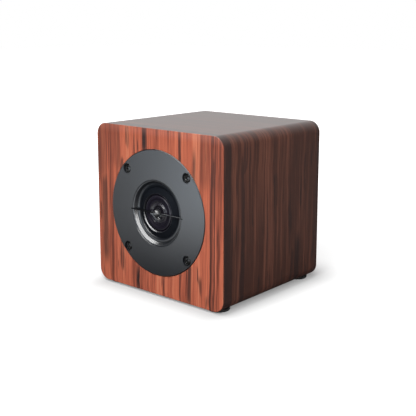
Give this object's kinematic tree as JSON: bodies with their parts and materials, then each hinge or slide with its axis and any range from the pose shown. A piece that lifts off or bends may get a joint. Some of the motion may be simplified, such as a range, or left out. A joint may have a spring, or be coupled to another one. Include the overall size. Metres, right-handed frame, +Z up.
{
  "type": "tweeter cabinet",
  "caption": "Small wood-veneered loudspeaker cabinet with a dome tweeter behind a dished round faceplate with a bar, rubber feet and a recessed rear terminal cup.",
  "frame": {"origin": "middle of the overall box, on the surface the feet stand on", "axes": "+Z up, +X to the right seen from the front, +Y to the back; the faceplate faces -Y"},
  "size_m": [0.14, 0.1362, 0.1392],
  "materials": {
    "mdf": "raw fibreboard, matt",
    "rosewood_veneer": "rosewood-pattern veneer, satin lacquer",
    "foot_rubber": "matt black rubber",
    "satin_black": "fine-textured satin black",
    "bar_plastic": "semi-gloss black",
    "gasket_foam": "closed-cell foam",
    "black_screw": "blackened steel",
    "dome_lacquer": "coated, glossy black",
    "surround_rubber": "coated cloth half-roll",
    "former_foil": "thin foil",
    "copper_winding": "enamelled copper wire",
    "moulded_black": "moulded black plastic",
    "zinc_steel": "zinc plated",
    "ferrite": "sintered ferrite",
    "felt": "pressed wool felt",
    "fibre_board": "phenolic fibre board",
    "tinned_brass": "tinned",
    "post_black": "glossy black plastic",
    "post_red": "glossy red plastic",
    "nickel_brass": "nickel-plated brass",
    "capacitor_film": "film-wrapped, resin ends",
    "fibre_wad": "white polyester fibre",
    "lead_red": "soft insulation",
    "lead_black": "soft insulation"
  },
  "bodies": {
    "cabinet": {"top_panel": "mdf", "bottom_panel": "mdf", "left_panel": "mdf", "right_panel": "mdf", "front_baffle": "mdf", "rear_panel": "mdf", "side_veneer": "rosewood_veneer", "front_veneer": "rosewood_veneer", "rear_veneer": "rosewood_veneer", "rubber_feet": "foot_rubber", "faceplate": "satin_black", "phase_bar": "bar_plastic", "faceplate_gasket": "gasket_foam", "faceplate_screws": "black_screw", "carrier_ring": "moulded_black", "top_plate": "zinc_steel", "magnet": "ferrite", "pole_yoke": "zinc_steel", "pole_felt": "felt", "rear_chamber": "moulded_black", "chamber_felt_pad": "felt", "motor_screws": "zinc_steel", "tab_strip": "fibre_board", "solder_tabs": "tinned_brass", "terminal_cup": "moulded_black", "cup_gasket_ring": "gasket_foam", "cup_screws": "black_screw", "post_collar_black": "post_black", "post_collar_red": "post_red", "post_stud_black": "nickel_brass", "post_stud_red": "nickel_brass", "post_nuts": "nickel_brass", "post_tags": "tinned_brass", "filter_board": "fibre_board", "board_screws": "zinc_steel", "capacitor": "capacitor_film", "damping_wad": "fibre_wad", "lead_post_to_filter": "lead_red", "lead_filter_to_driver": "lead_red", "lead_post_to_driver": "lead_black"},
    "diaphragm": {"dome": "dome_lacquer", "coil_former": "former_foil", "voice_coil": "copper_winding", "surround": "surround_rubber"},
    "clamp_black": {"cap_insert_black": "nickel_brass"},
    "grip_black": {"post_cap_black": "post_black"},
    "clamp_red": {"cap_insert_red": "nickel_brass"},
    "grip_red": {"post_cap_red": "post_red"}
  },
  "joints": [
    {"name": "diaphragm_stroke", "type": "slide", "parent": "cabinet", "child": "diaphragm", "axis": [0, 1, 0], "range_m": [-0.0005, 0.0005], "stiffness_N_per_m": 1200, "deforming": ["surround"]},
    {"name": "clamp_lift_black", "type": "slide", "parent": "cabinet", "child": "clamp_black", "axis": [0, 1, 0], "range_m": [0, 0.006]},
    {"name": "cap_turn_black", "type": "hinge", "parent": "clamp_black", "child": "grip_black", "pos_m": [-0.0095, 0.0505, 0.062], "axis": [0, 1, 0], "range_deg": [0, 2160]},
    {"name": "clamp_lift_red", "type": "slide", "parent": "cabinet", "child": "clamp_red", "axis": [0, 1, 0], "range_m": [0, 0.006]},
    {"name": "cap_turn_red", "type": "hinge", "parent": "clamp_red", "child": "grip_red", "pos_m": [0.0095, 0.0505, 0.062], "axis": [0, 1, 0], "range_deg": [0, 2160]}
  ],
  "couplings": [
    {"joint": "cap_turn_black", "follows": "clamp_lift_black", "rad_per_m": 6283.2},
    {"joint": "cap_turn_red", "follows": "clamp_lift_red", "rad_per_m": 6283.2}
  ]
}
